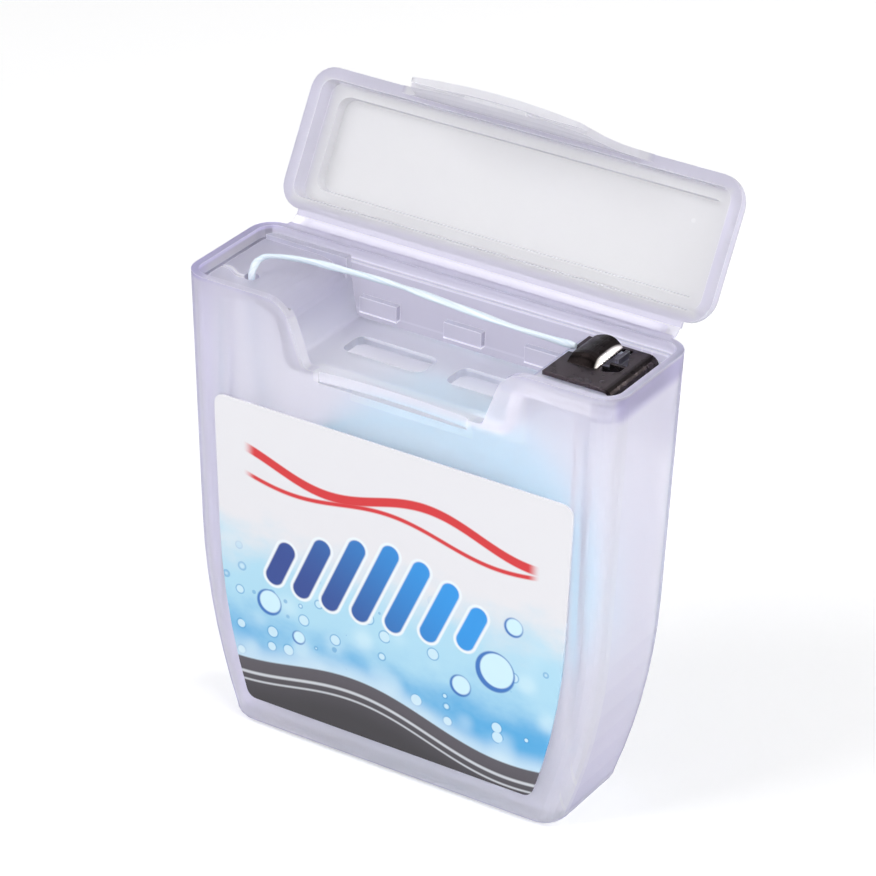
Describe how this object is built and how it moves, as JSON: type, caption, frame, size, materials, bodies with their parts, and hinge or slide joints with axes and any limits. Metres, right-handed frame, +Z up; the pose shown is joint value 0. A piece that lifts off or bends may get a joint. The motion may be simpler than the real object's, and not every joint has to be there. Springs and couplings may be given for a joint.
{
  "type": "dental_floss_dispenser",
  "caption": "Flip-top dental floss dispenser, frosted plastic case with its film-hinged lid open and floss drawn to the cutter",
  "frame": {"origin": "Centre of the flat bottom that the case stands on", "axes": "+Z up, +X to the right of the front, the labelled front faces -Y, the hinge is at the back"},
  "size_m": [0.05, 0.027, 0.0692],
  "materials": {
    "frosted_plastic": "frosted, translucent",
    "dark_steel": "dark, stamped",
    "bobbin_plastic": "as moulded",
    "waxed_floss": "waxed",
    "label_film": "satin film"
  },
  "bodies": {
    "case": {"case_shell": "frosted_plastic", "hinge_film": "frosted_plastic", "insert": "frosted_plastic", "cutter": "dark_steel", "floss_strand": "waxed_floss", "front_label": "label_film"},
    "lid": {"lid": "frosted_plastic"},
    "spool": {"bobbin_core": "bobbin_plastic", "floss_pack": "waxed_floss", "floss_winding": "waxed_floss"}
  },
  "joints": [
    {"name": "lid_hinge", "type": "hinge", "parent": "case", "child": "lid", "pos_m": [0, 0.00865, 0.0503], "axis": [1, 0, 0], "range_deg": [-60.4, 119.6]},
    {"name": "spool_spin", "type": "hinge", "parent": "case", "child": "spool", "pos_m": [0.001, 0, 0.0229], "axis": [0, 1, 0], "continuous": true}
  ]
}
